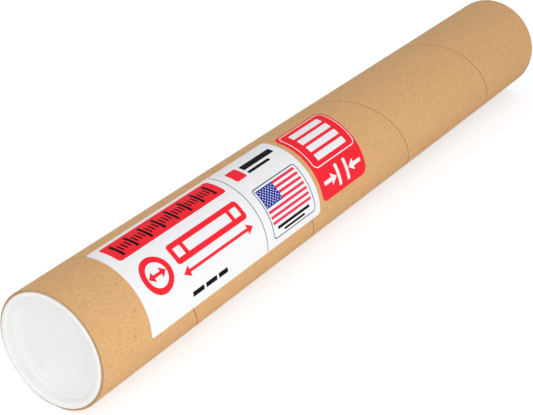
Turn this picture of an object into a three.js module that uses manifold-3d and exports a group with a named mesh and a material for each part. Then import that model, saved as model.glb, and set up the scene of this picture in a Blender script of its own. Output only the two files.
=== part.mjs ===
// Round mailing tube: a spiral-wound kraft tube, closed by a moulded plug at each end, with two paper labels.
// Millimetres. X runs along the tube, Z is up, and the tube lies on its side on the plane z = 0.
import * as THREE from "three";
import { mergeVertices } from "three/addons/utils/BufferGeometryUtils.js";
import Module from "manifold-3d";

// Tube wall
const TUBE_LENGTH = 609.6;
const BORE_DIAMETER = 76.2;
const WALL = 3.556;
const REST_FLAT = 10; // width of the faint flat along the bottom, where the tube lies

// Outer ply: one strip of paper wound in a spiral, whose edges meet in a shallow seam
const PLY_WIDTH = 125;
const SEAM_TOP = 52; // from the near end to where the seam crosses the top of the tube
const SEAM_GAP = 0.5;
const SEAM_DEPTH = 0.3;

// End plugs: a flange on the cut end of the tube and a tapered cup in its bore
const FLANGE_DIAMETER = 79.6;
const FLANGE_THICKNESS = 1.4;
const FLANGE_SEAT = 0.05; // between the flange and the cut end
const RECESS_DEPTH = 9.4;
const RECESS_FLOOR = 68;
const PLUG_SKIN = 1.1;
const SHANK_CLEARANCE = 0.5; // between the straight part of the cup and the bore
const SHANK_LENGTH = 4.4;
const BEAD_CLEARANCE = 0.12; // between the grip bead and the bore
const BEAD_RADIUS = 0.6;
const BEAD_PLACE = 2.4; // from the cut end into the bore
const FLANGE_ROUND = 0.45;
const MOUTH_ROUND = 1.3;
const FLOOR_ROUND = 2;

// Labels: thin sheets on the tube, the red one beside the white one
const PAPER = 0.14;
const GLUE = 0.06; // between the tube and a label
const LABEL_TURN = 40; // degrees from the top of the tube to the middle of the labels, round the front
const SIZE_LABEL_LENGTH = 196;
const SIZE_LABEL_HEIGHT = 76.2;
const SIZE_LABEL_START = 46; // from the near end
const SIZE_LABEL_CORNER = 2.5;
const GRADE_LABEL_LENGTH = 61;
const GRADE_LABEL_HEIGHT = 64.5;
const GRADE_LABEL_GAP = 5; // between the two labels
const GRADE_LABEL_CORNER = 5.5;

// Faces round the tube
const SEGMENTS = 72;
const ARC_STEPS = 2; // along a rounded edge of a section
const CORNER_STEPS = 5; // along a rounded corner of a label

const STEP = (2 * Math.PI) / SEGMENTS;
const BORE_RADIUS = BORE_DIAMETER / 2;
const TUBE_RADIUS = BORE_RADIUS + WALL;
const AXIS_HEIGHT = Math.sqrt(TUBE_RADIUS ** 2 - (REST_FLAT / 2) ** 2);
const NEAR_END = -TUBE_LENGTH / 2;
const FAR_END = TUBE_LENGTH / 2;

// The seam advances by one ply, measured along the tube, on each turn round it
const CIRCUMFERENCE = 2 * Math.PI * TUBE_RADIUS;
const SEAM_PITCH = 1 / Math.sqrt(1 / PLY_WIDTH ** 2 - 1 / CIRCUMFERENCE ** 2);

const kraft = new THREE.MeshStandardMaterial({ color: 0xcf9f6c, roughness: 0.85, metalness: 0 });
const plastic = new THREE.MeshStandardMaterial({ color: 0xe9e9e7, roughness: 0.45, metalness: 0 });
const whitePaper = new THREE.MeshStandardMaterial({ color: 0xf8f8fa, roughness: 0.6, metalness: 0 });
const redPaper = new THREE.MeshStandardMaterial({ color: 0xfd3a44, roughness: 0.6, metalness: 0 });

const wasm = await Module();
wasm.setup();

// Only the positions of a geometry, with shared vertices merged and the empty triangles on the axis left out
function closedGeometry(geometry) {
  const bare = geometry.clone();
  bare.deleteAttribute("normal");
  bare.deleteAttribute("uv");
  const merged = mergeVertices(bare, 1e-4);
  const corners = merged.index.array;
  const kept = [];
  for (let i = 0; i < corners.length; i += 3) {
    const [a, b, c] = corners.slice(i, i + 3);
    if (a !== b && b !== c && c !== a) {
      kept.push(a, b, c);
    }
  }
  merged.setIndex(kept);
  return merged;
}

function toManifold(geometry) {
  const closed = closedGeometry(geometry);
  const mesh = new wasm.Mesh({
    numProp: 3,
    vertProperties: new Float32Array(closed.getAttribute("position").array),
    triVerts: new Uint32Array(closed.index.array),
  });
  return new wasm.Manifold(mesh);
}

function toGeometry(manifold) {
  const mesh = manifold.getMesh();
  const geometry = new THREE.BufferGeometry();
  geometry.setAttribute("position", new THREE.BufferAttribute(mesh.vertProperties, 3));
  geometry.setIndex(new THREE.BufferAttribute(mesh.triVerts, 1));
  geometry.computeVertexNormals();
  return geometry;
}

// How far a flat face of the tube lies inside the round, at an angle from the top
function faceReach(turn) {
  return Math.cos(STEP / 2) / Math.cos(turn - STEP * Math.round(turn / STEP));
}

// A flat strip bent round the tube's axis. Each row is a line along the tube, at its own turn from the top.
function bentStrip(rows, innerRadius, outerRadius) {
  const last = rows.length - 1;
  const strip = new THREE.BoxGeometry(last, 2, 2, last, 1, 1);
  const corners = strip.getAttribute("position");
  for (let i = 0; i < corners.count; i += 1) {
    const row = rows[Math.round(corners.getX(i) + last / 2)];
    const x = corners.getY(i) < 0 ? row.from : row.to;
    const radius = (corners.getZ(i) < 0 ? innerRadius : outerRadius) * faceReach(row.turn);
    corners.setXYZ(i, x, -radius * Math.sin(row.turn), radius * Math.cos(row.turn));
  }
  strip.computeVertexNormals();
  return strip;
}

// The turns of the corners between the tube's faces, from one turn to another
function faceCorners(fromTurn, toTurn) {
  const turns = [];
  for (let i = Math.ceil(fromTurn / STEP - 0.5); (i + 0.5) * STEP < toTurn; i += 1) {
    turns.push((i + 0.5) * STEP);
  }
  return turns;
}

// A ring with the section given as points (radius, place along the axis)
function turned(section) {
  return new THREE.LatheGeometry(section, SEGMENTS, STEP / 2);
}

function makeTube() {
  const section = [
    new THREE.Vector2(BORE_RADIUS, NEAR_END),
    new THREE.Vector2(TUBE_RADIUS, NEAR_END),
    new THREE.Vector2(TUBE_RADIUS, FAR_END),
    new THREE.Vector2(BORE_RADIUS, FAR_END),
    new THREE.Vector2(BORE_RADIUS, NEAR_END),
  ];
  const wall = turned(section).rotateZ(-Math.PI / 2);
  const seamTurn = (fromNearEnd) => ((fromNearEnd - SEAM_TOP) / SEAM_PITCH) * 2 * Math.PI;
  const turns = faceCorners(seamTurn(-SEAM_GAP) - STEP, seamTurn(TUBE_LENGTH + SEAM_GAP) + 2 * STEP);
  const rows = turns.map((turn) => {
    const middle = NEAR_END + SEAM_TOP + (turn / (2 * Math.PI)) * SEAM_PITCH;
    return { turn, from: middle - SEAM_GAP / 2, to: middle + SEAM_GAP / 2 };
  });
  const seam = bentStrip(rows, TUBE_RADIUS - SEAM_DEPTH, TUBE_RADIUS + WALL);
  const below = new THREE.BoxGeometry(TUBE_LENGTH + 2 * WALL, 2 * TUBE_RADIUS, TUBE_RADIUS);
  below.translate(0, 0, -AXIS_HEIGHT - TUBE_RADIUS / 2);
  const wound = toManifold(wall).subtract(toManifold(seam)).subtract(toManifold(below));
  return new THREE.Mesh(toGeometry(wound), kraft);
}

// The plug's section, from the middle of its recess out over the flange and back under the cup
function plugSection() {
  const face = FLANGE_THICKNESS;
  const floor = face - RECESS_DEPTH;
  const flangeRadius = FLANGE_DIAMETER / 2;
  const floorRadius = RECESS_FLOOR / 2;
  const boreFace = BORE_RADIUS * Math.cos(STEP / 2);
  const shankRadius = boreFace - SHANK_CLEARANCE;
  const mouthRadius = shankRadius - PLUG_SKIN;
  const beadMiddle = boreFace - BEAD_CLEARANCE - BEAD_RADIUS;
  const beadSpread = Math.acos((shankRadius - beadMiddle) / BEAD_RADIUS);
  const taperEnd = floor + FLOOR_ROUND;
  const outline = new THREE.Path();
  outline.moveTo(0, floor);
  outline.lineTo(floorRadius - FLOOR_ROUND, floor);
  outline.absarc(floorRadius - FLOOR_ROUND, taperEnd, FLOOR_ROUND, -Math.PI / 2, 0, false);
  outline.lineTo(mouthRadius, -SHANK_LENGTH);
  outline.lineTo(mouthRadius, face - MOUTH_ROUND);
  outline.absarc(mouthRadius + MOUTH_ROUND, face - MOUTH_ROUND, MOUTH_ROUND, Math.PI, Math.PI / 2, true);
  outline.lineTo(flangeRadius - FLANGE_ROUND, face);
  outline.absarc(flangeRadius - FLANGE_ROUND, face - FLANGE_ROUND, FLANGE_ROUND, Math.PI / 2, 0, true);
  outline.lineTo(flangeRadius, FLANGE_SEAT);
  outline.lineTo(shankRadius, FLANGE_SEAT);
  outline.absarc(beadMiddle, -BEAD_PLACE, BEAD_RADIUS, beadSpread, -beadSpread, true);
  outline.lineTo(shankRadius, -SHANK_LENGTH);
  outline.lineTo(floorRadius + PLUG_SKIN, taperEnd);
  outline.absarc(floorRadius - FLOOR_ROUND, taperEnd, FLOOR_ROUND + PLUG_SKIN, 0, -Math.PI / 2, true);
  outline.lineTo(0, floor - PLUG_SKIN);
  outline.lineTo(0, floor);
  return outline.getPoints(ARC_STEPS).reverse();
}

// A plug with its face turned to one end of the tube
function makePlug(end, quarterTurn) {
  const plug = new THREE.Mesh(closedGeometry(turned(plugSection())), plastic);
  plug.geometry.computeVertexNormals();
  plug.rotation.z = quarterTurn;
  plug.position.x = end;
  return plug;
}

// A label: rows across its height, drawn in at the rounded corners
function makeLabel(start, length, height, corner, material) {
  const rows = [];
  const addRow = (place, inset) => {
    const turn = THREE.MathUtils.degToRad(LABEL_TURN) + place / TUBE_RADIUS;
    rows.push({ turn, from: start + inset, to: start + length - inset });
  };
  for (let i = 0; i <= CORNER_STEPS; i += 1) {
    const angle = (i / CORNER_STEPS) * (Math.PI / 2);
    const place = height / 2 - corner + corner * Math.sin(angle);
    const inset = corner - corner * Math.cos(angle);
    addRow(place, inset);
    addRow(-place, inset);
  }
  const middle = THREE.MathUtils.degToRad(LABEL_TURN);
  const spread = height / 2 / TUBE_RADIUS;
  for (const turn of faceCorners(middle - spread, middle + spread)) {
    const place = (turn - middle) * TUBE_RADIUS;
    const past = Math.max(0, Math.abs(place) - (height / 2 - corner));
    addRow(place, corner - Math.sqrt(corner ** 2 - past ** 2));
  }
  rows.sort((a, b) => a.turn - b.turn);
  const inner = TUBE_RADIUS + GLUE;
  return new THREE.Mesh(bentStrip(rows, inner, inner + PAPER), material);
}

const mailingTube = new THREE.Group();
mailingTube.position.z = AXIS_HEIGHT;

function add(name, mesh) {
  mesh.name = name;
  mailingTube.add(mesh);
}

const sizeLabelStart = NEAR_END + SIZE_LABEL_START;
const gradeLabelStart = sizeLabelStart + SIZE_LABEL_LENGTH + GRADE_LABEL_GAP;

add("tube", makeTube());
add("near_end_cap", makePlug(NEAR_END, Math.PI / 2));
add("far_end_cap", makePlug(FAR_END, -Math.PI / 2));
add("size_label", makeLabel(sizeLabelStart, SIZE_LABEL_LENGTH, SIZE_LABEL_HEIGHT, SIZE_LABEL_CORNER, whitePaper));
add("grade_label", makeLabel(gradeLabelStart, GRADE_LABEL_LENGTH, GRADE_LABEL_HEIGHT, GRADE_LABEL_CORNER, redPaper));

export default mailingTube;
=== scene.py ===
"""Looks of a round mailing tube: spiral-wound kraft wall, moulded end plugs and printed paper labels."""

import math

import bmesh
import bpy
import numpy as np
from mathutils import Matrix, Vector


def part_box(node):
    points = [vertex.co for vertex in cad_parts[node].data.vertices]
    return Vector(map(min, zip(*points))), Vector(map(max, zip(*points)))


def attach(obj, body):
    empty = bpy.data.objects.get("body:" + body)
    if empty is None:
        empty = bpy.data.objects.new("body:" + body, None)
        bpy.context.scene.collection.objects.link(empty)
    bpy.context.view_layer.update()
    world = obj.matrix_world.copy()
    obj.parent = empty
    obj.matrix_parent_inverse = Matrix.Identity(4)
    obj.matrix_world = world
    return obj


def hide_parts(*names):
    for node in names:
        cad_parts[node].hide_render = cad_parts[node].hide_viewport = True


bl_info = {
    "name": "Round Mailing Tube",
    "version": (1, 0, 0),
    "blender": (4, 5, 0),
    "location": "3D View > Sidebar > Mailing Tube",
    "description": "Builds a spiral-wound mailing tube with end plugs and labels on its CAD frame",
    "category": "Add Mesh",
}

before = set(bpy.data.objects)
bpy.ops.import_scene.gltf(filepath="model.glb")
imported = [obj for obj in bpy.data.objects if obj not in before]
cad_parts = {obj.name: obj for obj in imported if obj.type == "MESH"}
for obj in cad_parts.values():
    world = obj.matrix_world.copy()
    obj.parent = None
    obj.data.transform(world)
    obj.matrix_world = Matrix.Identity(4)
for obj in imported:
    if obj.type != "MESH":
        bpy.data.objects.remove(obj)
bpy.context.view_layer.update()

MM = 0.001
TUBE_LOW, TUBE_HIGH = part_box("tube")
PLUG_LOW, PLUG_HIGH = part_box("near_end_cap")
SIZE_LABEL_LOW, SIZE_LABEL_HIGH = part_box("size_label")
GRADE_LABEL_LOW, GRADE_LABEL_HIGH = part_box("grade_label")

# The tube's axis and outside, from the frame
NEAR_END = TUBE_LOW.x
FAR_END = TUBE_HIGH.x
AXIS_HEIGHT = (PLUG_LOW.z + PLUG_HIGH.z) / 2
TUBE_RADIUS = TUBE_HIGH.z - AXIS_HEIGHT
REST_HEIGHT = TUBE_LOW.z
FLANGE_RADIUS = (PLUG_HIGH.z - PLUG_LOW.z) / 2
FLANGE_THICKNESS = NEAR_END - PLUG_LOW.x

# Where the labels' middle lies round the tube, as a turn from the top towards the front
LABEL_TURN = math.radians(40)

# Names of the attributes that carry the places on the wound paper and on the labels to the materials
WOUND = "wound_place"
PRINT = "print_place"


def srgb(red, green, blue):
    """A colour given as screen values from 0 to 255, as linear values."""
    parts = [value / 255 for value in (red, green, blue)]
    return tuple(p / 12.92 if p <= 0.04045 else ((p + 0.055) / 1.055) ** 2.4 for p in parts)


def length_setting(name, description, size):
    """A length, given in millimetres."""
    return bpy.props.FloatProperty(name=name, description=description, default=size * MM, unit="LENGTH")


def power_setting(name, description, power):
    """A lamp's power, in watts."""
    return bpy.props.FloatProperty(name=name, description=description, default=power, unit="POWER")


def colour_setting(name, description, colour):
    """A colour, as linear values."""
    return bpy.props.FloatVectorProperty(name=name, description=description, default=colour, subtype="COLOR")


def place_setting(name, description, place):
    """A point, in metres."""
    return bpy.props.FloatVectorProperty(name=name, description=description, default=place, subtype="XYZ")


class MAILTUBE_PG_sizes(bpy.types.PropertyGroup):
    """Sizes of the wall, the plugs and the labels that the frame's boxes don't give."""

    wall: length_setting("Wall", "Thickness of the wound wall", 3.556)
    ply_width: length_setting("Ply width", "Width of the strip of the outer ply", 125)
    seam_top: length_setting("Seam at the top", "From the near end to the first seam at the top", 52)
    seam_gap: length_setting("Seam gap", "Between the edges of the outer ply", 0.42)
    seam_depth: length_setting("Seam depth", "Depth of the outer ply's seam", 0.3)
    plies: bpy.props.IntProperty(name="Plies", description="Layers that show in the cut end", default=8)
    recess_depth: length_setting("Recess depth", "From a plug's face to its floor", 9.4)
    recess_floor: length_setting("Recess floor", "Radius of the plug's floor", 34)
    plug_skin: length_setting("Plug skin", "Thickness of the moulding", 1.1)
    shank_length: length_setting("Shank length", "Straight part of the plug's cup", 4.4)
    paper: length_setting("Label paper", "Thickness of the labels", 0.14)
    glue: length_setting("Glue", "Between the tube and a label", 0.06)
    size_label_corner: length_setting("White label's corner", "Radius of its corners", 2.5)
    grade_label_corner: length_setting("Red label's corner", "Radius of its corners", 5.5)


class MAILTUBE_PG_finishes(bpy.types.PropertyGroup):
    """Colours of the papers, the inks and the plastic."""

    kraft: colour_setting("Kraft", "Outer ply", srgb(224, 176, 121))
    kraft_cut: colour_setting("Cut edge", "Cut end of the wall", srgb(200, 164, 120))
    kraft_bore: colour_setting("Bore", "Inner ply", srgb(178, 142, 104))
    plastic: colour_setting("Plugs", "White moulded plastic", srgb(241, 241, 240))
    white_paper: colour_setting("White label", "Unprinted label paper", srgb(248, 248, 250))
    red_ink: colour_setting("Red", "Red label and red print", srgb(255, 41, 56))
    dark_ink: colour_setting("Dark print", "Near-black print", srgb(6, 4, 6))
    navy_ink: colour_setting("Navy print", "Fine frame round the flag", srgb(46, 56, 108))
    flag_blue: colour_setting("Flag blue", "Flag's corner field", srgb(27, 56, 158))
    flag_red: colour_setting("Flag red", "Flag's stripes", srgb(246, 48, 84))
    grey_ink: colour_setting("Grey rule", "Thin dividing rule", srgb(120, 118, 126))


class MAILTUBE_PG_stage(bpy.types.PropertyGroup):
    """Camera, sky, the lamps' power and the floor."""

    camera_place: place_setting("Camera", "Place of the camera", (-0.8036, -0.4934, 0.5125))
    camera_aim: place_setting("Aim", "Point it looks at", (-0.0735, -0.0023, 0.0373))
    lens: bpy.props.FloatProperty(name="Lens", description="Focal length in millimetres", default=92.25)
    sky: bpy.props.FloatProperty(name="Sky", description="Strength of the even light all round", default=0.56)
    key_power: power_setting("Key lamp", "Power of the front lamp", 6.0)
    end_power: power_setting("End lamp", "Power of the lamp at the near end", 8.4)
    back_power: power_setting("Back lamp", "Power of the lamp behind", 4.0)
    floor_colour: colour_setting("Floor", "Pale floor, as it lights the tube", (0.85, 0.85, 0.85))
    floor_seen: colour_setting("Floor seen", "Floor as the camera sees it", (0.86, 0.8, 0.84))
    floor_glow: bpy.props.FloatProperty(
        name="Floor glow", description="Strength of the glow that the camera sees on the floor", default=0.54
    )
    floor_glow_colour: colour_setting("Glow colour", "Evens out the tube's warm light", (0.79, 0.955, 1.0))


# Mesh helpers


def arc(centre, radius, start, end, steps):
    """Points of an arc, as (place along the axis, radius), with the angles in degrees from the axis."""
    points = []
    for i in range(steps + 1):
        angle = math.radians(start + (end - start) * i / steps)
        points.append((centre[0] + radius * math.cos(angle), centre[1] + radius * math.sin(angle)))
    return points


def on_round(x, radius, turn):
    """A point at a radius from the tube's axis, at a turn from the top towards the front."""
    return (x, -radius * math.sin(turn), AXIS_HEIGHT + radius * math.cos(turn))


def between(first, second, closed=False):
    """The faces between two lines of corners, or between two rings of them."""
    pairs = list(zip(first, second))
    if closed:
        pairs.append(pairs[0])
    return [(a, b, d, c) for (a, c), (b, d) in zip(pairs, pairs[1:])]


def turned_mesh(name, section, segments):
    """A closed body turned about the tube's axis, from its section as (x, radius) points."""
    count = len(section)
    points = [on_round(x, r, 2 * math.pi * i / segments) for i in range(segments) for x, r in section]
    rings = [range(i * count, (i + 1) * count) for i in range(segments)]
    faces = []
    for ring, ahead in zip(rings, rings[1:] + rings[:1]):
        faces += between(ring, ahead, closed=True)
    mesh = bpy.data.meshes.new(name)
    mesh.from_pydata(points, [], faces)
    return cleaned(mesh)


JOIN_DISTANCE = 0.002 * MM  # corners nearer than this are one


def cleaned(mesh):
    """Merges doubled corners, drops empty faces and turns every face outwards."""
    form = bmesh.new()
    form.from_mesh(mesh)
    bmesh.ops.remove_doubles(form, verts=form.verts, dist=JOIN_DISTANCE)
    bmesh.ops.dissolve_degenerate(form, edges=form.edges, dist=JOIN_DISTANCE)
    bmesh.ops.recalc_face_normals(form, faces=form.faces)
    form.to_mesh(mesh)
    form.free()
    return mesh


SHARP_ANGLE = 32  # degrees, from which an edge is drawn sharp


def add_piece(name, mesh, materials, body, nodes):
    """Adds a mesh, smooth but for its sharp edges, ties it to its body and hides the CAD nodes it stands for.
    """
    piece = bpy.data.objects.new(name, mesh)
    bpy.context.scene.collection.objects.link(piece)
    for material in materials:
        mesh.materials.append(material)
    mesh.shade_smooth()
    mesh.set_sharp_from_angle(angle=math.radians(SHARP_ANGLE))
    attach(piece, body)
    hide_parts(*nodes)


# Node helpers


class Tree:
    """A node tree that is built step by step. A value may be a number, a colour or another node's socket."""

    def __init__(self, tree):
        self.tree = tree

    def add(self, kind, **settings):
        node = self.tree.nodes.new(kind)
        for key, value in settings.items():
            setattr(node, key, value)
        return node

    def feed(self, socket, value):
        if isinstance(value, bpy.types.NodeSocket):
            self.tree.links.new(value, socket)
        else:
            socket.default_value = value

    def math(self, operation, first, second=0.0, clamp=False):
        node = self.add("ShaderNodeMath", operation=operation, use_clamp=clamp)
        for socket, value in zip(node.inputs, (first, second)):
            self.feed(socket, value)
        return node.outputs[0]

    def scaled(self, vector, scale):
        node = self.add("ShaderNodeVectorMath", operation="MULTIPLY")
        self.feed(node.inputs[0], vector)
        self.feed(node.inputs[1], scale)
        return node.outputs[0]

    def split(self, vector):
        node = self.add("ShaderNodeSeparateXYZ")
        self.feed(node.inputs[0], vector)
        return node.outputs

    def join(self, x, y, z):
        node = self.add("ShaderNodeCombineXYZ")
        for socket, value in zip(node.inputs, (x, y, z)):
            self.feed(socket, value)
        return node.outputs[0]

    def length(self, x, y, z=0.0):
        node = self.add("ShaderNodeVectorMath", operation="LENGTH")
        self.feed(node.inputs[0], self.join(x, y, z))
        return node.outputs["Value"]

    def ramp(self, value, low, high, from_value=0.0, to_value=1.0):
        """Maps a value from low..high to from_value..to_value, smoothly, and holds it there outside."""
        node = self.add("ShaderNodeMapRange", interpolation_type="SMOOTHSTEP")
        for socket, number in zip(node.inputs, (value, low, high, from_value, to_value)):
            self.feed(socket, number)
        return node.outputs[0]

    def mix(self, factor, first, second, blend="MIX"):
        """Mixes two colours."""
        node = self.add("ShaderNodeMix", data_type="RGBA", blend_type=blend)
        self.feed(node.inputs["Factor"], factor)
        self.feed(node.inputs[6], as_colour(first))
        self.feed(node.inputs[7], as_colour(second))
        return node.outputs[2]

    def noise(self, vector, scale, detail=2.0, roughness=0.5):
        node = self.add("ShaderNodeTexNoise")
        self.feed(node.inputs["Vector"], vector)
        node.inputs["Scale"].default_value = scale
        node.inputs["Detail"].default_value = detail
        node.inputs["Roughness"].default_value = roughness
        return node.outputs["Fac"]

    def bump(self, height, distance, strength=1.0, normal=None):
        node = self.add("ShaderNodeBump")
        self.feed(node.inputs["Height"], height)
        node.inputs["Distance"].default_value = distance
        node.inputs["Strength"].default_value = strength
        if normal is not None:
            self.feed(node.inputs["Normal"], normal)
        return node.outputs["Normal"]

    def place(self):
        """The piece's own coordinates, in metres."""
        return self.add("ShaderNodeTexCoord").outputs["Object"]

    def attribute(self, name):
        return self.add("ShaderNodeAttribute", attribute_name=name).outputs["Vector"]

    def group(self, name, **values):
        """Places a shared group. Keywords name its inputs, with _ for a space."""
        node = self.add("ShaderNodeGroup", node_tree=bpy.data.node_groups[name])
        for key, value in values.items():
            self.feed(node.inputs[key.replace("_", " ").capitalize()], value)
        return node.outputs


def as_colour(value):
    """A colour with its alpha, or a socket as it is."""
    if isinstance(value, bpy.types.NodeSocket):
        return value
    return (*tuple(value)[:3], 1.0)


def new_group(name, inputs, outputs):
    """An empty shader node group with its named inputs and outputs."""
    tree = bpy.data.node_groups.new(name, "ShaderNodeTree")
    for label, value in inputs.items():
        kind = "NodeSocketVector" if isinstance(value, tuple) else "NodeSocketFloat"
        socket = tree.interface.new_socket(name=label, in_out="INPUT", socket_type=kind)
        socket.default_value = value
    for label in outputs:
        tree.interface.new_socket(name=label, in_out="OUTPUT", socket_type="NodeSocketFloat")
    work = Tree(tree)
    source = work.add("NodeGroupInput").outputs
    target = work.add("NodeGroupOutput").inputs
    return work, source, target


def new_material(name):
    """A material with its Principled shader, ready for its values."""
    material = bpy.data.materials.new(name)
    material.use_nodes = True
    work = Tree(material.node_tree)
    shader = next(n for n in material.node_tree.nodes if n.type == "BSDF_PRINCIPLED")
    return material, work, shader


# Shared effects


def make_fibre_group():
    """Felted paper: fine fibres drawn out along the sheet, and slow cloudy patches."""
    work, source, target = new_group(
        "Paper Fibre", {"Place": (0.0, 0.0, 0.0), "Draw": 4.0}, ("Fibre", "Cloud", "Grain")
    )
    along, across, deep = work.split(source["Place"])
    drawn = work.join(work.math("DIVIDE", along, source["Draw"]), across, deep)
    work.feed(target["Fibre"], work.noise(drawn, 2600, 4, 0.6))
    work.feed(target["Cloud"], work.noise(drawn, 420, 5, 0.72))
    work.feed(target["Grain"], work.noise(source["Place"], 1100, 3, 0.65))


def make_speck_group():
    """Scattered small marks: a few cells of a pattern hold one speck each."""
    work, source, target = new_group(
        "Scattered Specks",
        {"Place": (0.0, 0.0, 0.0), "Cells per metre": 100.0, "Share": 0.1, "Size": 0.1},
        ("Mask",),
    )
    warp = 0.6 * MM
    node = work.add("ShaderNodeTexVoronoi", feature="F1")
    warped = work.add("ShaderNodeTexNoise")
    work.feed(warped.inputs["Vector"], source["Place"])
    warped.inputs["Scale"].default_value = 1400
    offset = work.scaled(warped.outputs["Color"], (warp, warp, warp))
    moved = work.add("ShaderNodeVectorMath", operation="ADD")
    work.feed(moved.inputs[0], source["Place"])
    work.feed(moved.inputs[1], offset)
    work.feed(node.inputs["Vector"], moved.outputs[0])
    work.feed(node.inputs["Scale"], source["Cells per metre"])
    chosen = work.split(node.outputs["Color"])
    picked = work.math("LESS_THAN", chosen[0], source["Share"])
    reach = work.math("MULTIPLY", source["Size"], work.math("ADD", chosen[1], 0.35))
    near = work.math("SUBTRACT", 1.0, work.math("DIVIDE", node.outputs["Distance"], reach), clamp=True)
    soft = work.math("MULTIPLY", near, 2.5, clamp=True)
    work.feed(target["Mask"], work.math("MULTIPLY", picked, soft))


PRINT_EDGE = 0.14 * MM  # softness of a printed edge


def ink_mask(work, distance):
    """1 inside a printed shape, 0 outside, with a hair of softness at its edge."""
    return work.math("SUBTRACT", 0.5, work.math("DIVIDE", distance, PRINT_EDGE), clamp=True)


def make_block_group():
    """A printed block with rounded corners, solid or as a line along its edge."""
    work, source, target = new_group(
        "Printed Block",
        {
            "Place": (0.0, 0.0, 0.0),
            "Left": 0.0,
            "Right": 0.01,
            "Bottom": 0.0,
            "Top": 0.01,
            "Corner": 0.0,
            "Line": 0.0,
        },
        ("Mask",),
    )
    x, y, _ = work.split(source["Place"])
    sides = []
    for place, low, high in ((x, source["Left"], source["Right"]), (y, source["Bottom"], source["Top"])):
        middle = work.math("MULTIPLY", work.math("ADD", low, high), 0.5)
        half = work.math("MULTIPLY", work.math("SUBTRACT", high, low), 0.5)
        off = work.math("ABSOLUTE", work.math("SUBTRACT", place, middle))
        sides.append(work.math("SUBTRACT", off, work.math("SUBTRACT", half, source["Corner"])))
    outside = work.length(work.math("MAXIMUM", sides[0], 0.0), work.math("MAXIMUM", sides[1], 0.0))
    inside = work.math("MINIMUM", work.math("MAXIMUM", sides[0], sides[1]), 0.0)
    distance = work.math("SUBTRACT", work.math("ADD", outside, inside), source["Corner"])
    half_line = work.math("MULTIPLY", source["Line"], 0.5)
    rim = work.math("SUBTRACT", work.math("ABSOLUTE", work.math("ADD", distance, half_line)), half_line)
    lined = work.math("GREATER_THAN", source["Line"], 0.0)
    chosen = work.add("ShaderNodeMix", data_type="FLOAT")
    work.feed(chosen.inputs[0], lined)
    work.feed(chosen.inputs[2], distance)
    work.feed(chosen.inputs[3], rim)
    work.feed(target["Mask"], ink_mask(work, chosen.outputs[0]))


def make_ring_group():
    """A printed ring, or a disc where its line is twice its radius."""
    work, source, target = new_group(
        "Printed Ring",
        {"Place": (0.0, 0.0, 0.0), "Middle x": 0.0, "Middle y": 0.0, "Radius": 0.01, "Line": 0.001},
        ("Mask",),
    )
    x, y, _ = work.split(source["Place"])
    reach = work.length(
        work.math("SUBTRACT", x, source["Middle x"]), work.math("SUBTRACT", y, source["Middle y"])
    )
    away = work.math("ABSOLUTE", work.math("SUBTRACT", reach, source["Radius"]))
    distance = work.math("SUBTRACT", away, work.math("MULTIPLY", source["Line"], 0.5))
    work.feed(target["Mask"], ink_mask(work, distance))


def make_arrow_group():
    """A printed arrowhead. A positive length opens it to the right of its tip, a negative one to the left."""
    work, source, target = new_group(
        "Printed Arrowhead",
        {"Place": (0.0, 0.0, 0.0), "Tip x": 0.0, "Tip y": 0.0, "Length": 0.003, "Half width": 0.002},
        ("Mask",),
    )
    x, y, _ = work.split(source["Place"])
    share = work.math("DIVIDE", work.math("SUBTRACT", x, source["Tip x"]), source["Length"])
    off = work.math("ABSOLUTE", work.math("SUBTRACT", y, source["Tip y"]))
    side = work.math("SUBTRACT", off, work.math("MULTIPLY", share, source["Half width"]))
    begun = work.math("GREATER_THAN", share, 0.0)
    ended = work.math("LESS_THAN", share, 1.0)
    inside = work.math("MULTIPLY", begun, ended)
    work.feed(target["Mask"], work.math("MULTIPLY", inside, ink_mask(work, side)))


def make_ticks_group():
    """A row of upright strokes at an even pitch, between two places."""
    work, source, target = new_group(
        "Printed Ticks",
        {
            "Place": (0.0, 0.0, 0.0),
            "Left": 0.0,
            "Right": 0.1,
            "Bottom": 0.0,
            "Top": 0.01,
            "Pitch": 0.005,
            "Line": 0.001,
        },
        ("Mask",),
    )
    x, y, _ = work.split(source["Place"])
    steps = work.math("DIVIDE", work.math("SUBTRACT", x, source["Left"]), source["Pitch"])
    off = work.math("ABSOLUTE", work.math("SUBTRACT", steps, work.math("ROUND", steps)))
    half_line = work.math("MULTIPLY", source["Line"], 0.5)
    distance = work.math("SUBTRACT", work.math("MULTIPLY", off, source["Pitch"]), half_line)
    margin = work.math("MULTIPLY", source["Line"], 0.6)
    within = work.group(
        "Printed Block",
        place=source["Place"],
        left=work.math("SUBTRACT", source["Left"], margin),
        right=work.math("ADD", source["Right"], margin),
        bottom=source["Bottom"],
        top=source["Top"],
    )["Mask"]
    work.feed(target["Mask"], work.math("MULTIPLY", within, ink_mask(work, distance)))


# Materials


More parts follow.
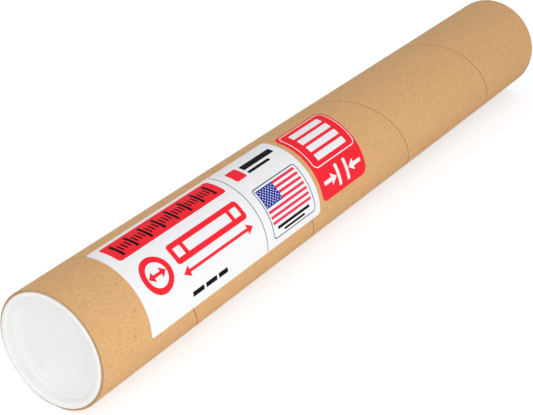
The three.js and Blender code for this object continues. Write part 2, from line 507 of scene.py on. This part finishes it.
def make_kraft(finishes, sizes):
    """Outer ply: felted kraft paper with fibres along the strip, dark and pale specks, a dark seam and a
    painted highlight beside it.
    """
    material, work, shader = new_material("kraft_outer_ply")
    wound = work.attribute(WOUND)
    along, across, seam = work.split(wound)
    fibre = work.group("Paper Fibre", place=work.join(along, across, 0.0), draw=1.25)
    body = work.place()
    patches = work.noise(body, 150, 4, 0.55)
    plain = Vector(finishes.kraft)
    colour = work.mix(work.ramp(patches, 0.34, 0.66), tint(plain, (0.93, 0.91, 0.88)), plain * 1.06)
    colour = work.mix(work.ramp(fibre["Cloud"], 0.36, 0.66), colour, tint(plain, (0.81, 0.75, 0.66)))
    grain = work.ramp(fibre["Grain"], 0.35, 0.7)
    colour = work.mix(work.math("MULTIPLY", grain, 0.85), colour, tint(plain, (1.1, 1.13, 1.18)))
    threads = work.ramp(fibre["Fibre"], 0.55, 0.78)
    colour = work.mix(work.math("MULTIPLY", threads, 0.5), colour, tint(plain, (0.76, 0.7, 0.62)))
    dark = work.group("Scattered Specks", place=body, cells_per_metre=150.0, share=0.22, size=0.13)["Mask"]
    colour = work.mix(work.math("MULTIPLY", dark, 0.62), colour, tint(plain, (0.5, 0.41, 0.32)))
    pale = work.group("Scattered Specks", place=wound, cells_per_metre=60.0, share=0.14, size=0.06)["Mask"]
    colour = work.mix(work.math("MULTIPLY", pale, 0.75), colour, tint(plain, (1.25, 1.4, 1.6)))
    # painted highlight: a whitish band along each side of the seam, where the strip's edge would catch the
    # light
    painted_seam_highlight = work.ramp(seam, sizes.seam_gap * 1.4, sizes.seam_gap * 4.5, 1.0, 0.0)
    groove = work.ramp(seam, sizes.seam_gap * 0.7, sizes.seam_gap * 1.7, 1.0, 0.0)
    colour = work.mix(work.math("MULTIPLY", painted_seam_highlight, 0.4), colour, tint(plain, (1.16, 1.2, 1.24)))
    colour = work.mix(work.math("MULTIPLY", groove, 0.85), colour, tint(plain, (0.46, 0.38, 0.3)))
    work.feed(shader.inputs["Base Color"], colour)
    work.feed(shader.inputs["Roughness"], work.ramp(fibre["Grain"], 0.2, 0.8, 0.6, 0.76))
    height = work.math("ADD", work.math("MULTIPLY", fibre["Fibre"], 0.5), fibre["Grain"])
    rough = work.bump(height, 0.08 * MM, 0.35)
    work.feed(shader.inputs["Normal"], work.bump(fibre["Cloud"], 0.1 * MM, 0.3, rough))
    shader.inputs["Specular IOR Level"].default_value = 0.45
    return material


def tint(colour, share):
    """A colour with each of its parts multiplied by a share, held below white."""
    return tuple(min(part * by, 0.98) for part, by in zip(colour, share))


def make_cut_edge(finishes, sizes):
    """Cut end of the wall: duller fuzzy paper with the dark lines of glue between the plies."""
    material, work, shader = new_material("kraft_cut_edge")
    body = work.place()
    _, y, z = work.split(body)
    reach = work.length(0.0, y, work.math("SUBTRACT", z, AXIS_HEIGHT))
    inward = work.math("SUBTRACT", TUBE_RADIUS, reach)
    wobble = work.math("MULTIPLY", work.math("SUBTRACT", work.noise(body, 90, 2), 0.5), 0.12 * MM)
    layer = work.math("DIVIDE", work.math("ADD", inward, wobble), sizes.wall / sizes.plies)
    off_line = work.math("ABSOLUTE", work.math("SUBTRACT", layer, work.math("ROUND", layer)))
    glue = work.ramp(off_line, 0.05, 0.2, 1.0, 0.0)
    fibre = work.group("Paper Fibre", place=body, draw=1.0)
    plain = Vector(finishes.kraft_cut)
    colour = work.mix(work.ramp(fibre["Grain"], 0.3, 0.7), plain * 0.88, tint(plain, (1.08, 1.08, 1.08)))
    colour = work.mix(work.math("MULTIPLY", glue, 0.42), colour, tint(plain, (0.62, 0.54, 0.45)))
    work.feed(shader.inputs["Base Color"], colour)
    shader.inputs["Roughness"].default_value = 0.9
    height = work.math("SUBTRACT", fibre["Grain"], work.math("MULTIPLY", glue, 0.8))
    work.feed(shader.inputs["Normal"], work.bump(height, 0.12 * MM, 0.5))
    return material


def make_bore(finishes):
    """Inner ply: plain recycled paper, greyer than the outer ply."""
    material, work, shader = new_material("kraft_inner_ply")
    fibre = work.group("Paper Fibre", place=work.place(), draw=1.5)
    plain = Vector(finishes.kraft_bore)
    colour = work.mix(work.ramp(fibre["Cloud"], 0.3, 0.7), plain * 0.9, plain * 1.06)
    colour = work.mix(work.math("MULTIPLY", fibre["Fibre"], 0.3), colour, plain * 0.7)
    work.feed(shader.inputs["Base Color"], colour)
    shader.inputs["Roughness"].default_value = 0.88
    work.feed(shader.inputs["Normal"], work.bump(fibre["Grain"], 0.1 * MM, 0.4))
    return material


def make_plastic(finishes):
    """White plug plastic: a satin moulding with a soft flow pattern, faint scuffs and a little dust."""
    material, work, shader = new_material("plug_plastic")
    body = work.place()
    plain = Vector(finishes.plastic)
    flow = work.noise(body, 30, 3, 0.5)
    colour = work.mix(work.ramp(flow, 0.3, 0.7), plain * 0.975, tint(plain, (1.01, 1.01, 1.01)))
    dust = work.group("Scattered Specks", place=body, cells_per_metre=130.0, share=0.03, size=0.06)["Mask"]
    colour = work.mix(work.math("MULTIPLY", dust, 0.3), colour, tint(plain, (0.8, 0.78, 0.74)))
    work.feed(shader.inputs["Base Color"], colour)
    streaks = work.noise(work.scaled(body, (1.0, 1.0, 0.2)), 420, 3, 0.6)
    work.feed(shader.inputs["Roughness"], work.ramp(streaks, 0.3, 0.75, 0.34, 0.48))
    work.feed(shader.inputs["Normal"], work.bump(work.noise(body, 1500, 3, 0.6), 0.02 * MM, 0.3))
    shader.inputs["Subsurface Weight"].default_value = 0.15
    shader.inputs["Subsurface Radius"].default_value = (1.0, 1.0, 1.0)
    shader.inputs["Subsurface Scale"].default_value = 1.5 * MM
    return material


# Places of the print, in millimetres along from the near end and up from the labels' middle line
BAND = dict(left=54.4, right=168, bottom=16.7, top=34.9, corner=2.5)
FLAG = dict(left=185.2, right=232.8, bottom=-22.5, top=4.2)
STRIPES = 13  # on the flag
FIELD_STRIPES = 7  # beside its corner field
FIELD_RIGHT = 204.8
DOT_COLUMNS = 6
DOT_ROWS = 5
DOT_RADIUS = 0.5
DOT_INSET = 0.55  # of the second grid of dots, from the field's edge
PICTURE_MIDDLE = -3.8  # of the tube's round end


class Print:
    """The print on a label, shape by shape: its colour and where there is ink. Sizes are in millimetres."""

    def __init__(self, work, paper):
        self.work = work
        self.place = work.attribute(PRINT)
        self.colour = as_colour(paper)
        self.inked = 0.0

    def shape(self, group, ink, **sizes):
        """Prints one shape over what is there."""
        values = {key: value * MM for key, value in sizes.items()}
        mask = self.work.group(group, place=self.place, **values)["Mask"]
        self.colour = self.work.mix(mask, self.colour, ink)
        self.inked = self.work.math("MAXIMUM", self.inked, mask)

    def block(self, ink, **sizes):
        self.shape("Printed Block", ink, **sizes)

    def finish(self, shader):
        """Gives the shader the print on its paper: felt, faint mottle and the ink's smoother face."""
        work = self.work
        fibre = work.group("Paper Fibre", place=self.place, draw=1.6)
        mottle = work.ramp(fibre["Cloud"], 0.3, 0.7, 0.985, 1.0)
        grain = work.ramp(fibre["Grain"], 0.25, 0.75, 0.975, 1.0)
        shade = work.math("MULTIPLY", mottle, grain)
        felt = work.mix(1.0, self.colour, work.join(shade, shade, shade), "MULTIPLY")
        work.feed(shader.inputs["Base Color"], felt)
        paper = work.ramp(fibre["Grain"], 0.2, 0.8, 0.5, 0.62)
        smooth = work.math("SUBTRACT", paper, work.math("MULTIPLY", self.inked, 0.12))
        work.feed(shader.inputs["Roughness"], smooth)
        height = work.math("ADD", fibre["Grain"], work.math("MULTIPLY", fibre["Fibre"], 0.4))
        work.feed(shader.inputs["Normal"], work.bump(height, 0.03 * MM, 0.35))
        shader.inputs["Specular IOR Level"].default_value = 0.08


def span(left, right, middle, half):
    """A block between two places, to each side of a middle line."""
    return dict(left=left, right=right, bottom=middle - half, top=middle + half)


def print_ruler(sheet, ink):
    """A plain scale of dark strokes along the band: short ones, and a long one at each fourth."""
    left, right, pitches = 62.0, 160.0, 28
    middle = (BAND["bottom"] + BAND["top"]) / 2
    pitch = (right - left) / pitches
    for every, reach, line in ((1, 3.2, 1.5), (4, 6.4, 2.5)):
        strokes = dict(span(left, right, middle, reach), pitch=pitch * every, line=line)
        sheet.shape("Printed Ticks", ink, **strokes)


def print_size_picture(sheet, ink):
    """Bold drawing of a tube: its round end with the bore's width, and its side with the length below."""
    end_x, end_radius, bore_half = 68.6, 11.0, 8.4
    side_left, side_right, side_half = 88.0, 165.0, 7.6
    side_middle, length_middle = PICTURE_MIDDLE + 4.4, PICTURE_MIDDLE - 9.8
    band_start, band_end = 11.0, 14.6
    sheet.shape("Printed Ring", ink, middle_x=end_x, middle_y=PICTURE_MIDDLE, radius=end_radius, line=4.4)
    sheet.block(ink, **span(end_x - 4.5, end_x + 4.5, PICTURE_MIDDLE, 1.1))
    for tip, length in ((end_x - bore_half, 5.0), (end_x + bore_half, -5.0)):
        sheet.shape("Printed Arrowhead", ink, tip_x=tip, tip_y=PICTURE_MIDDLE, length=length, half_width=3.8)
    sheet.block(ink, **span(side_left, side_right, side_middle, side_half), corner=3.0, line=4.0)
    bands = (
        (side_left + band_start, side_left + band_end),
        (side_right - band_end, side_right - band_start),
    )
    for left, right in bands:
        sheet.block(ink, **span(left, right, side_middle, side_half))
    sheet.block(ink, **span(side_left + 5.0, side_right - 5.0, length_middle, 1.1))
    for tip, length in ((side_left, 6.4), (side_right, -6.4)):
        sheet.shape("Printed Arrowhead", ink, tip_x=tip, tip_y=length_middle, length=length, half_width=3.9)


def print_flag(sheet, finishes):
    """A striped flag with a dotted corner field, in a fine rounded frame."""
    sheet.block(finishes.navy_ink, left=183, right=236, bottom=-32.7, top=6.5, corner=3, line=0.8)
    stripe = (FLAG["top"] - FLAG["bottom"]) / STRIPES
    for i in range(0, STRIPES, 2):
        top = FLAG["top"] - i * stripe
        sheet.block(finishes.flag_red, **dict(FLAG, bottom=top - stripe, top=top))
    field = dict(FLAG, right=FIELD_RIGHT, bottom=FLAG["top"] - FIELD_STRIPES * stripe)
    sheet.block(finishes.flag_blue, **field)
    sheet.colour = sheet.work.mix(dot_mask(sheet, field), sheet.colour, finishes.white_paper)


def dot_mask(sheet, field):
    """Small dots in two staggered grids over the flag's corner field."""
    work = sheet.work
    x, y, _ = work.split(sheet.place)
    left, right, bottom, top = (field[side] * MM for side in ("left", "right", "bottom", "top"))
    axes = ((x, left, (right - left) / DOT_COLUMNS), (y, bottom, (top - bottom) / DOT_ROWS))
    masks = []
    for shift, inset in ((0.0, 0.0), (0.5, DOT_INSET * MM)):
        in_cell = []
        for place, start, pitch in axes:
            steps = work.math("DIVIDE", work.math("SUBTRACT", place, start), pitch)
            part = work.math("FRACT", work.math("ADD", steps, shift))
            in_cell.append(work.math("MULTIPLY", work.math("SUBTRACT", part, 0.5), pitch))
        reach = work.length(*in_cell)
        dots = ink_mask(work, work.math("SUBTRACT", reach, DOT_RADIUS * MM))
        sides = dict(left=left + inset, right=right - inset, bottom=bottom + inset, top=top - inset)
        inside = work.group("Printed Block", place=sheet.place, **sides)["Mask"]
        masks.append(work.math("MULTIPLY", dots, inside))
    return work.math("MAXIMUM", *masks)


def make_size_label_material(finishes):
    """White label: a red band with a scale, a bold drawing of the tube, plain bars and a flag."""
    material, work, shader = new_material("size_label_print")
    sheet = Print(work, finishes.white_paper)
    sheet.block(finishes.red_ink, **BAND)
    print_ruler(sheet, finishes.dark_ink)
    print_size_picture(sheet, finishes.red_ink)
    sheet.block(finishes.grey_ink, **span(174.0, 174.8, 0.0, 37.0))
    sheet.block(finishes.red_ink, **span(182.6, 194.6, 23.7, 6.0), corner=1.6)
    bars = [
        span(90, 102, -28.6, 1.7),
        span(104, 116, -28.6, 1.7),
        span(118, 128, -28.6, 1.7),
        span(198, 235, 25.7, 2.6),
        span(198, 224, 19.6, 1.2),
        span(189, 229, -25.9, 1.1),
        span(196, 222, -29.4, 0.9),
    ]
    for bar in bars:
        sheet.block(finishes.dark_ink, **bar, corner=0.5)
    print_flag(sheet, finishes)
    sheet.finish(shader)
    return material


def make_grade_label_material(finishes):
    """Red label: a fine white frame round four bars for the plies of the wall, and its thickness below."""
    material, work, shader = new_material("grade_label_print")
    sheet = Print(work, finishes.red_ink)
    ink = finishes.white_paper
    sheet.block(ink, left=250.4, right=306.4, bottom=-7.2, top=31, corner=5, line=0.8)
    for middle in (24.0, 16.0, 8.0, 0.0):
        sheet.block(ink, **span(259, 298, middle, 2.7), corner=0.6)
    wall_middle = -19.6
    for left, right in ((270.6, 274.0), (282.0, 285.4)):
        sheet.block(ink, **span(left, right, wall_middle, 8.4), corner=0.5)
    for left, right in ((253, 264.5), (291.5, 303)):
        sheet.block(ink, **span(left, right, wall_middle, 1.5))
    for tip, length in ((269.6, -7.0), (286.4, 7.0)):
        sheet.shape("Printed Arrowhead", ink, tip_x=tip, tip_y=wall_middle, length=length, half_width=4.6)
    sheet.finish(shader)
    return material


# Pieces


WALL_COLUMNS = 256  # round the tube
EDGE_STATIONS = (-1.1, -0.75, -0.5, -0.3, 0.3, 0.5, 0.75, 1.1)  # across the seam, in widths of its gap
PLAIN_STATIONS = 10  # across the strip, between its edges
BORE_STATIONS = 24  # along the bore
GLUE_SUNK = 0.08 * MM  # how far the glue between the plies lies below the cut end
FACE_KRAFT, FACE_CUT, FACE_BORE = 0, 1, 2
OFF_STRIP = (0.0, 0.0, 1.0)  # the place given to points of the cut ends and the bore, which isn't used


class WoundWall:
    """The tube's wall: an outer face made of the wound strip, the cut ends with their plies, and the bore."""

    def __init__(self, sizes):
        around = 2 * math.pi * TUBE_RADIUS
        self.sizes = sizes
        self.pitch = 1 / math.sqrt(1 / sizes.ply_width**2 - 1 / around**2)
        self.turn_length = math.hypot(self.pitch, around)
        self.first_seam = NEAR_END + sizes.seam_top - 2 * self.pitch
        self.points, self.faces, self.places, self.kinds = [], [], [], []
        self.add_outer_face()
        self.add_bore(self.add_cut_end(NEAR_END, 1), self.add_cut_end(FAR_END, -1))

    def off_seam(self, x, column):
        """How far a place along the tube is from the nearest seam's middle line."""
        off = x - self.first_seam - self.pitch * column / WALL_COLUMNS
        return abs(off - self.pitch * round(off / self.pitch))

    def drop(self, off):
        """How deep the outer face lies at a distance from the seam's middle line."""
        half_floor, flank = self.sizes.seam_gap * 0.3, self.sizes.seam_gap * 0.5
        share = min(max((off - half_floor) / flank, 0.0), 1.0)
        return self.sizes.seam_depth * (1 - share * share * (3 - 2 * share))

    def add_point(self, x, radius, column, place=OFF_STRIP):
        """Adds a point, held above the flat that the tube lies on, with its place on the paper."""
        x, y, z = on_round(x, radius, 2 * math.pi * column / WALL_COLUMNS)
        self.points.append((x, y, max(z, REST_HEIGHT)))
        self.places.append(place)
        return len(self.points) - 1

    def add_faces(self, first, second, kind, closed=False):
        faces = between(first, second, closed)
        self.faces += faces
        self.kinds += [kind] * len(faces)

    def add_outer_face(self):
        """The strip's face, turn by turn, with close stations at its edges and wide ones between."""
        gap = self.sizes.seam_gap
        edge = [share * gap for share in EDGE_STATIONS]
        plain = np.linspace(edge[-1], self.pitch - edge[-1], PLAIN_STATIONS + 2)[1:-1]
        stations = [*edge, *plain, edge[0] + self.pitch]
        for turn in range(math.ceil((FAR_END - NEAR_END) / self.pitch) + 3):
            lines = [
                [self.add_outer_point(turn, column, station) for station in stations]
                for column in range(WALL_COLUMNS + 1)
            ]
            for line, ahead in zip(lines, lines[1:]):
                self.add_faces(line, ahead, FACE_KRAFT)

    def add_outer_point(self, turn, column, station):
        """A point of the strip, with its place along it, across it and from the seam."""
        wound = turn + column / WALL_COLUMNS
        x = min(max(self.first_seam + self.pitch * wound + station, NEAR_END), FAR_END)
        off = self.off_seam(x, column)
        place = (wound * self.turn_length, station, off)
        return self.add_point(x, TUBE_RADIUS - self.drop(off), column, place)

    def add_cut_end(self, end, inward):
        """A cut end, ring by ring, with each ply a hair proud of its glue. Returns the ring at the bore."""
        wall, plies = self.sizes.wall, self.sizes.plies
        ply = wall / plies
        half_glue = 0.1  # in plies
        steps = [(0.0, 0.0), (0.12 * ply, 0.0)]
        for i in range(1, plies):
            steps += [((i - half_glue) * ply, 0.0), (i * ply, GLUE_SUNK), ((i + half_glue) * ply, 0.0)]
        steps += [(wall - 0.25 * ply, 0.0), (wall, 0.0)]
        rings = []
        for down, sunk in steps:
            ring = []
            for column in range(WALL_COLUMNS):
                # the seam's notch shows in the first two rings alone
                drop = self.drop(self.off_seam(end, column)) if down < 0.2 * ply else 0.0
                radius = TUBE_RADIUS - max(drop, down)
                ring.append(self.add_point(end + inward * sunk, radius, column))
            rings.append(ring)
        for ring, inner in zip(rings, rings[1:]):
            self.add_faces(ring, inner, FACE_CUT, closed=True)
        return rings[-1]

    def add_bore(self, near, far):
        """The bore's face, between its rings at the two ends."""
        bore = TUBE_RADIUS - self.sizes.wall
        rings = [near]
        for x in np.linspace(NEAR_END, FAR_END, BORE_STATIONS + 1)[1:-1]:
            rings.append([self.add_point(x, bore, column) for column in range(WALL_COLUMNS)])
        rings.append(far)
        for ring, ahead in zip(rings, rings[1:]):
            self.add_faces(ring, ahead, FACE_BORE, closed=True)

    def mesh(self):
        """The wall's mesh, with each face's part of the wall and each corner's place on the wound strip."""
        mesh = bpy.data.meshes.new("tube_wall")
        mesh.from_pydata(self.points, [], self.faces)
        mesh.polygons.foreach_set("material_index", self.kinds)
        corners = np.zeros(len(mesh.loops), dtype=np.int32)
        mesh.loops.foreach_get("vertex_index", corners)
        layer = mesh.attributes.new(WOUND, "FLOAT_VECTOR", "CORNER")
        layer.data.foreach_set("vector", np.array(self.places, dtype=np.float32)[corners].ravel())
        return cleaned(mesh)


PLUG_SEGMENTS = 192  # round a plug


def plug_section(sizes, end, outward):
    """A plug's section as (x, radius), from the middle of its recess out over the flange and back."""
    floor_round, mouth_round, flange_round = 2 * MM, 1.3 * MM, 0.45 * MM
    bead_radius, bead_place, seat = 0.6 * MM, 2.4 * MM, 0.05 * MM
    shank_clearance, bead_clearance = 0.5 * MM, 0.1 * MM
    ease_length, ease_depth, chamfer = 0.3 * MM, 0.12 * MM, 0.1 * MM
    face = FLANGE_THICKNESS
    floor = face - sizes.recess_depth
    bore = TUBE_RADIUS - sizes.wall
    shank = bore - shank_clearance
    mouth = shank - sizes.plug_skin
    taper_end = floor + floor_round
    flat = sizes.recess_floor - floor_round
    bead_middle = bore - bead_clearance - bead_radius
    spread = math.degrees(math.acos((shank - bead_middle) / bead_radius))
    section = [(floor, 0.0), (floor, flat * 0.5)]
    section += arc((taper_end, flat), floor_round, 180, 90, 8)
    section += [(-sizes.shank_length - ease_length, mouth - ease_depth), (-sizes.shank_length, mouth)]
    section += arc((face - mouth_round, mouth + mouth_round), mouth_round, -90, 0, 8)
    section += arc((face - flange_round, FLANGE_RADIUS - flange_round), flange_round, 0, 90, 6)
    section += [(seat + chamfer, FLANGE_RADIUS), (seat, FLANGE_RADIUS - chamfer), (seat, shank)]
    section += arc((-bead_place, bead_middle), bead_radius, 90 - spread, 90 + spread, 6)
    section += [(-sizes.shank_length, shank)]
    section += arc((taper_end, flat), floor_round + sizes.plug_skin, 90, 180, 8)
    section += [(floor - sizes.plug_skin, 0.0)]
    return [(end + outward * place, radius) for place, radius in section]


LABEL_ROWS = 72  # round the tube
LABEL_COLUMNS = 40  # along it
CORNER_ROWS = 8  # round a corner


def label_rows(half, corner):
    """Places of a label's rows, round the tube: even ones, and close ones at its corners."""
    rows = set(np.linspace(-half, half, LABEL_ROWS + 1))
    for i in range(CORNER_ROWS + 1):
        place = half - corner + corner * math.sin(math.pi / 2 * i / CORNER_ROWS)
        rows.update((place, -place))
    return sorted(rows)


def label_mesh(name, low, high, corner, sizes):
    """A thin sheet bent round the tube, with rounded corners, and each point's place on its print."""
    inner = TUBE_RADIUS + sizes.glue
    outer = inner + sizes.paper
    lower_edge = math.acos((low.z - AXIS_HEIGHT) / outer)
    half = (lower_edge - LABEL_TURN) * TUBE_RADIUS
    points, places, faces = [], [], []
    under, over = [], []
    for row in label_rows(half, corner):
        past = max(0.0, abs(row) - (half - corner))
        inset = corner - math.sqrt(max(corner**2 - past**2, 0.0))
        for radius, lines in ((inner, under), (outer, over)):
            lines.append(range(len(points), len(points) + LABEL_COLUMNS + 1))
            for x in np.linspace(low.x + inset, high.x - inset, LABEL_COLUMNS + 1):
                points.append(on_round(x, radius, LABEL_TURN + row / TUBE_RADIUS))
                places.append((x - NEAR_END, -row, 0.0))
    for lines in (under, over):
        for line, ahead in zip(lines, lines[1:]):
            faces += between(line, ahead)
    for edge in (0, -1):
        faces += between(under[edge], over[edge])
        faces += between([line[edge] for line in under], [line[edge] for line in over])
    mesh = bpy.data.meshes.new(name)
    mesh.from_pydata(points, [], faces)
    layer = mesh.attributes.new(PRINT, "FLOAT_VECTOR", "POINT")
    layer.data.foreach_set("vector", np.array(places, dtype=np.float32).ravel())
    return cleaned(mesh)


# Operators


# Where each lamp stands, the point it faces and its side, in metres
KEY_LAMP = dict(place=(-0.38, -1.02, 0.26), target=(-0.22, 0.0, 0.03), size=0.9)
END_LAMP = dict(place=(-1.8, -0.4, 0.35), target=(-0.25, 0.0, 0.04), size=1.1)
BACK_LAMP = dict(place=(-0.7, 0.9, 1.0), target=(-0.15, 0.0, 0.04), size=0.9)

FLOOR_HALF = 6.0  # from its middle to its edge
FLOOR_CELLS = 12
FLOOR_DROP = 0.1 * MM  # below the tube


class MAILTUBE_OT_stage(bpy.types.Operator):
    """Make the pale floor, the even sky, the lamps and the camera"""

    bl_idname = "mailtube.stage"
    bl_label = "Stage"

    def execute(self, context):
        settings = context.scene.mailtube_stage
        make_floor(settings)
        make_sky(context.scene, settings)
        make_lamp("front_key", settings.key_power, **KEY_LAMP)
        make_lamp("end_fill", settings.end_power, **END_LAMP)
        make_lamp("back_fill", settings.back_power, **BACK_LAMP)
        camera = bpy.data.cameras.new("camera")
        camera.sensor_width = 36
        camera.lens = settings.lens
        holder = bpy.data.objects.new("camera", camera)
        context.scene.collection.objects.link(holder)
        aim_at(holder, settings.camera_place, settings.camera_aim)
        context.scene.camera = holder
        context.scene.view_settings.view_transform = "Standard"
        return {"FINISHED"}


def aim_at(holder, place, target):
    """Places a camera or lamp so that it looks at a point, level."""
    holder.location = place
    direction = Vector(target) - Vector(place)
    holder.rotation_euler = direction.to_track_quat("-Z", "Y").to_euler()


def make_lamp(name, power, place, target, size):
    """A square soft lamp."""
    lamp = bpy.data.lights.new(name, "AREA")
    lamp.energy = power
    lamp.size = size
    holder = bpy.data.objects.new(name, lamp)
    bpy.context.scene.collection.objects.link(holder)
    aim_at(holder, place, target)


def make_floor(settings):
    """A wide pale floor that the camera sees as white, with the tube's shadow kept."""
    mesh = bpy.data.meshes.new("floor")
    form = bmesh.new()
    bmesh.ops.create_grid(form, x_segments=FLOOR_CELLS, y_segments=FLOOR_CELLS, size=FLOOR_HALF)
    form.to_mesh(mesh)
    form.free()
    floor = bpy.data.objects.new("floor", mesh)
    floor.location.z = -FLOOR_DROP
    bpy.context.scene.collection.objects.link(floor)
    material, work, shader = new_material("floor_paper")
    shader.inputs["Roughness"].default_value = 0.9
    shader.inputs["Specular IOR Level"].default_value = 0.1
    shader.inputs["Emission Color"].default_value = as_colour(settings.floor_glow_colour)
    seen = work.add("ShaderNodeLightPath").outputs["Is Camera Ray"]
    work.feed(shader.inputs["Base Color"], work.mix(seen, settings.floor_colour, settings.floor_seen))
    work.feed(shader.inputs["Emission Strength"], work.math("MULTIPLY", seen, settings.floor_glow))
    mesh.materials.append(material)


def make_sky(scene, settings):
    """An even sky, seen as white by the camera and through clear things."""
    world = bpy.data.worlds.new("even_sky")
    scene.world = world
    world.use_nodes = True
    work = Tree(world.node_tree)
    background = next(n for n in world.node_tree.nodes if n.type == "BACKGROUND")
    background.inputs["Color"].default_value = (1, 1, 1, 1)
    path = work.add("ShaderNodeLightPath").outputs
    seen = work.math("MAXIMUM", path["Is Camera Ray"], path["Is Transmission Ray"])
    work.feed(background.inputs["Strength"], work.ramp(seen, 0.0, 1.0, settings.sky, 1.0))


class MAILTUBE_OT_effects(bpy.types.Operator):
    """Make the shader groups that several materials share"""

    bl_idname = "mailtube.effects"
    bl_label = "Shared effects"

    def execute(self, context):
        make_fibre_group()
        make_speck_group()
        make_block_group()
        make_ring_group()
        make_arrow_group()
        make_ticks_group()
        return {"FINISHED"}


class MAILTUBE_OT_wall(bpy.types.Operator):
    """Make the spiral-wound kraft wall with its seam and cut ends"""

    bl_idname = "mailtube.wall"
    bl_label = "Wound wall"

    def execute(self, context):
        sizes, finishes = context.scene.mailtube_sizes, context.scene.mailtube_finishes
        materials = [make_kraft(finishes, sizes), make_cut_edge(finishes, sizes), make_bore(finishes)]
        add_piece("wound_wall", WoundWall(sizes).mesh(), materials, "tube", ["tube"])
        return {"FINISHED"}


class MAILTUBE_OT_plugs(bpy.types.Operator):
    """Make the two moulded end plugs"""

    bl_idname = "mailtube.plugs"
    bl_label = "End plugs"

    def execute(self, context):
        sizes = context.scene.mailtube_sizes
        plastic = make_plastic(context.scene.mailtube_finishes)
        for side, end, outward in (("near", NEAR_END, -1), ("far", FAR_END, 1)):
            mesh = turned_mesh(f"{side}_plug", plug_section(sizes, end, outward), PLUG_SEGMENTS)
            add_piece(f"{side}_plug", mesh, [plastic], f"{side}_cap", [f"{side}_end_cap"])
        return {"FINISHED"}


class MAILTUBE_OT_labels(bpy.types.Operator):
    """Make the two printed paper labels"""

    bl_idname = "mailtube.labels"
    bl_label = "Labels"

    def execute(self, context):
        sizes, finishes = context.scene.mailtube_sizes, context.scene.mailtube_finishes
        mesh = label_mesh("size_sheet", SIZE_LABEL_LOW, SIZE_LABEL_HIGH, sizes.size_label_corner, sizes)
        material = make_size_label_material(finishes)
        add_piece("size_sheet", mesh, [material], "tube", ["size_label"])
        mesh = label_mesh("grade_sheet", GRADE_LABEL_LOW, GRADE_LABEL_HIGH, sizes.grade_label_corner, sizes)
        material = make_grade_label_material(finishes)
        add_piece("grade_sheet", mesh, [material], "tube", ["grade_label"])
        return {"FINISHED"}


OPERATORS = (
    MAILTUBE_OT_stage,
    MAILTUBE_OT_effects,
    MAILTUBE_OT_wall,
    MAILTUBE_OT_plugs,
    MAILTUBE_OT_labels,
)


class MAILTUBE_PT_sidebar(bpy.types.Panel):
    """Lists the steps that build the mailing tube"""

    bl_idname = "MAILTUBE_PT_sidebar"
    bl_label = "Mailing Tube"
    bl_space_type = "VIEW_3D"
    bl_region_type = "UI"
    bl_category = "Mailing Tube"

    def draw(self, context):
        for operator in OPERATORS:
            self.layout.operator(operator.bl_idname)


GROUPS = {
    "mailtube_sizes": MAILTUBE_PG_sizes,
    "mailtube_finishes": MAILTUBE_PG_finishes,
    "mailtube_stage": MAILTUBE_PG_stage,
}
CLASSES = (*GROUPS.values(), *OPERATORS, MAILTUBE_PT_sidebar)


def register():
    for item in CLASSES:
        bpy.utils.register_class(item)
    for name, group in GROUPS.items():
        setattr(bpy.types.Scene, name, bpy.props.PointerProperty(type=group))


def unregister():
    for name in GROUPS:
        delattr(bpy.types.Scene, name)
    for item in reversed(CLASSES):
        bpy.utils.unregister_class(item)


def main():
    """Registers the add-on and builds every piece in order."""
    register()
    bpy.ops.mailtube.stage()
    bpy.ops.mailtube.effects()
    bpy.ops.mailtube.wall()
    bpy.ops.mailtube.plugs()
    bpy.ops.mailtube.labels()


if __name__ == "__main__":
    main()
